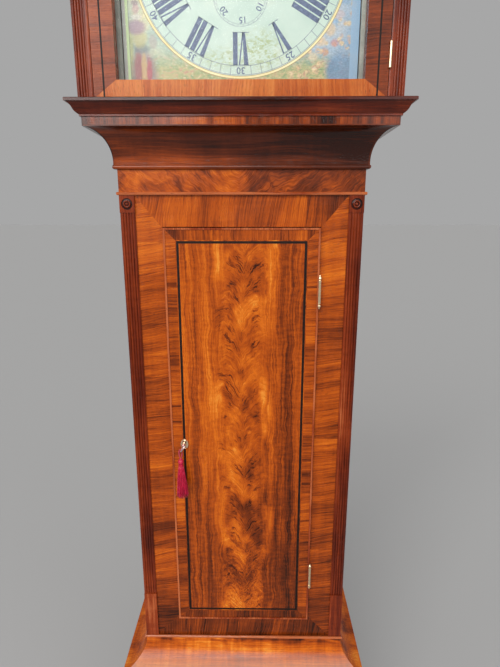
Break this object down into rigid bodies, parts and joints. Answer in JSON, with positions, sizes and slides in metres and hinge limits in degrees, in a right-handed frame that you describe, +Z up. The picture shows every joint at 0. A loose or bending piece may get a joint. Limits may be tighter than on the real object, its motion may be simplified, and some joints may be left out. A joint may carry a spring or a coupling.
{
  "type": "longcase clock",
  "caption": "Tall mahogany clock: bracket-footed base, slim trunk with a hinged door, and a sliding glazed hood round an arched painted dial, with its weight-driven movement.",
  "frame": {"origin": "on the floor under the middle of the case", "axes": "+Z up, the dial faces -Y, +X to the right as seen from the front"},
  "size_m": [0.542, 0.269, 2.221],
  "materials": {
    "mahogany": "french polished",
    "mahogany_dark": "french polished",
    "pine": "bare",
    "ebony": "polished",
    "brass": "lacquered",
    "steel": "polished",
    "glass": "clear",
    "dial_paint": "painted and varnished",
    "mask_paint": "painted",
    "silk": "twisted silk",
    "gut": "varnished gut",
    "lead": "cast"
  },
  "bodies": {
    "case": {"bracket_feet": "mahogany_dark", "base_skirting": "mahogany_dark", "base_front_panel": "mahogany", "base_carcase": "mahogany", "base_cove": "mahogany", "trunk_frame": "mahogany", "trunk_pilasters": "mahogany_dark", "trunk_carcase": "mahogany", "trunk_beads": "mahogany_dark", "trunk_frieze": "mahogany", "throat_moulding": "mahogany_dark", "trunk_hinge_fixed": "brass", "movement_frame": "brass", "dial": "dial_paint", "bell": "brass"},
    "trunk_door": {"trunk_door_panel": "mahogany", "trunk_door_string": "ebony", "door_cock_bead": "mahogany", "door_lock_case": "brass", "trunk_hinge_door": "brass"},
    "bolt": {"lock_bolt": "steel"},
    "key": {"door_key": "steel"},
    "tassel_body": {"tassel_loop": "silk", "tassel": "silk"},
    "hood": {"hood_base_moulding": "mahogany_dark", "hood_sides": "mahogany", "hood_pilasters": "mahogany_dark", "hood_pediment_board": "mahogany", "hood_cornice": "mahogany_dark", "pediment_rosettes": "brass", "hood_roof": "pine", "hood_mask": "mask_paint", "finial": "brass", "hood_hinge_fixed": "brass"},
    "hood_door": {"hood_door_frame": "mahogany", "hood_door_string": "ebony", "hood_door_glass": "glass", "hood_hinge_door": "brass", "hood_door_knob": "brass"},
    "pendulum_body": {"pendulum": "brass"},
    "anchor_body": {"anchor": "steel"},
    "centre_arbor": {"centre_wheel": "brass"},
    "third_arbor": {"third_wheel": "brass"},
    "escape_arbor": {"escape_wheel": "brass"},
    "time_great": {"time_great_wheel": "brass"},
    "hour_pipe": {"hour_wheel": "brass"},
    "minute_stud": {"minute_wheel": "brass"},
    "date_stud": {"date_wheel": "brass"},
    "going_weight_body": {"going_weight": "lead", "going_line": "gut"},
    "going_barrel_body": {"going_barrel": "brass"},
    "strike_weight_body": {"strike_weight": "lead", "strike_line": "gut"},
    "strike_barrel_body": {"strike_barrel": "brass"},
    "strike_great": {"strike_great_wheel": "brass"},
    "pin_arbor": {"pin_wheel": "brass"},
    "gather_arbor": {"gather_wheel": "brass"},
    "warning_arbor": {"warning_wheel": "brass"},
    "fly_arbor": {"fly": "brass"},
    "hammer_arbor": {"hammer": "steel"}
  },
  "joints": [
    {"name": "trunk_door_hinge", "type": "hinge", "parent": "case", "child": "trunk_door", "pos_m": [0.1325, -0.0731, 0.94], "axis": [0, 0, 1], "range_deg": [0, 110]},
    {"name": "key_turn", "type": "hinge", "parent": "trunk_door", "child": "key", "pos_m": [-0.108, -0.0685, 0.942], "axis": [0, 1, 0], "range_deg": [0, 90]},
    {"name": "bolt_slide", "type": "slide", "parent": "trunk_door", "child": "bolt", "axis": [-1, 0, 0], "range_m": [0, 0.0061]},
    {"name": "tassel_hang", "type": "hinge", "parent": "key", "child": "tassel_body", "pos_m": [-0.11216, -0.0915, 0.93606], "axis": [0, 1, 0], "range_deg": [-90.5, 0.5]},
    {"name": "hood_slide", "type": "slide", "parent": "case", "child": "hood", "axis": [0, -1, 0], "range_m": [0, 0.3]},
    {"name": "hood_door_hinge", "type": "hinge", "parent": "hood", "child": "hood_door", "pos_m": [0.218, -0.1089, 1.72], "axis": [0, 0, 1], "range_deg": [0, 110]},
    {"name": "pendulum_swing", "type": "hinge", "parent": "case", "child": "pendulum_body", "pos_m": [0, 0, 1.7866], "axis": [0, 1, 0], "range_deg": [-3, 3]},
    {"name": "anchor_rock", "type": "hinge", "parent": "case", "child": "anchor_body", "pos_m": [0, 0, 1.7866], "axis": [0, 1, 0], "range_deg": [-3.05, 3.05]},
    {"name": "centre_turn", "type": "hinge", "parent": "case", "child": "centre_arbor", "pos_m": [0, 0, 1.716], "axis": [0, 1, 0], "continuous": true},
    {"name": "third_turn", "type": "hinge", "parent": "case", "child": "third_arbor", "pos_m": [0.00522, 0, 1.74096], "axis": [0, 1, 0], "continuous": true},
    {"name": "escape_turn", "type": "hinge", "parent": "case", "child": "escape_arbor", "pos_m": [0, 0, 1.764], "axis": [0, 1, 0], "continuous": true},
    {"name": "time_great_turn", "type": "hinge", "parent": "case", "child": "time_great", "pos_m": [0.0365, 0, 1.7023], "axis": [0, 1, 0], "continuous": true},
    {"name": "hour_turn", "type": "hinge", "parent": "case", "child": "hour_pipe", "pos_m": [0, 0, 1.716], "axis": [0, 1, 0], "continuous": true},
    {"name": "minute_wheel_turn", "type": "hinge", "parent": "case", "child": "minute_stud", "pos_m": [0.015, 0, 1.7013], "axis": [0, 1, 0], "continuous": true},
    {"name": "date_turn", "type": "hinge", "parent": "case", "child": "date_stud", "pos_m": [0, 0, 1.6665], "axis": [0, 1, 0], "continuous": true},
    {"name": "going_weight_fall", "type": "slide", "parent": "case", "child": "going_weight_body", "axis": [0, 0, 1], "range_m": [-0.95, 0], "deforming": ["going_line"]},
    {"name": "going_barrel_turn", "type": "hinge", "parent": "case", "child": "going_barrel_body", "pos_m": [0.0365, 0, 1.7023], "axis": [0, 1, 0], "range_deg": [-4500, 10]},
    {"name": "strike_weight_fall", "type": "slide", "parent": "case", "child": "strike_weight_body", "axis": [0, 0, 1], "range_m": [-0.95, 0], "deforming": ["strike_line"]},
    {"name": "strike_barrel_turn", "type": "hinge", "parent": "case", "child": "strike_barrel_body", "pos_m": [-0.0365, 0, 1.7023], "axis": [0, 1, 0], "range_deg": [-4500, 10]},
    {"name": "warning_turn", "type": "hinge", "parent": "case", "child": "warning_arbor", "pos_m": [-0.02946, 0, 1.78042], "axis": [0, 1, 0], "continuous": true},
    {"name": "gather_turn", "type": "hinge", "parent": "case", "child": "gather_arbor", "pos_m": [-0.03447, 0, 1.76002], "axis": [0, 1, 0], "continuous": true},
    {"name": "pin_turn", "type": "hinge", "parent": "case", "child": "pin_arbor", "pos_m": [-0.03849, 0, 1.73674], "axis": [0, 1, 0], "continuous": true},
    {"name": "strike_great_turn", "type": "hinge", "parent": "case", "child": "strike_great", "pos_m": [-0.0365, 0, 1.7023], "axis": [0, 1, 0], "continuous": true},
    {"name": "fly_turn", "type": "hinge", "parent": "case", "child": "fly_arbor", "pos_m": [-0.04345, 0, 1.79233], "axis": [0, 1, 0], "continuous": true},
    {"name": "hammer_lift", "type": "hinge", "parent": "case", "child": "hammer_arbor", "pos_m": [-0.05, 0, 1.778], "axis": [0, 1, 0], "range_deg": [-12, 1.2], "stiffness_Nm_per_rad": 0.06}
  ],
  "couplings": [
    {"joint": "bolt_slide", "follows": "key_turn", "m_per_rad": 0.0038197},
    {"joint": "tassel_hang", "follows": "key_turn", "ratio": -1},
    {"joint": "anchor_rock", "follows": "pendulum_swing", "ratio": 1},
    {"joint": "third_turn", "follows": "centre_turn", "ratio": -7.5},
    {"joint": "escape_turn", "follows": "centre_turn", "ratio": 60},
    {"joint": "time_great_turn", "follows": "centre_turn", "ratio": -0.083333},
    {"joint": "minute_wheel_turn", "follows": "centre_turn", "ratio": -0.75},
    {"joint": "hour_turn", "follows": "centre_turn", "ratio": 0.083333},
    {"joint": "date_turn", "follows": "centre_turn", "ratio": 0.0013441},
    {"joint": "going_barrel_turn", "follows": "going_weight_fall", "rad_per_m": 80},
    {"joint": "strike_barrel_turn", "follows": "strike_weight_fall", "rad_per_m": 80},
    {"joint": "gather_turn", "follows": "warning_turn", "ratio": -0.14286},
    {"joint": "pin_turn", "follows": "warning_turn", "ratio": 0.017857},
    {"joint": "strike_great_turn", "follows": "warning_turn", "ratio": -0.0017007},
    {"joint": "fly_turn", "follows": "warning_turn", "ratio": -6}
  ]
}
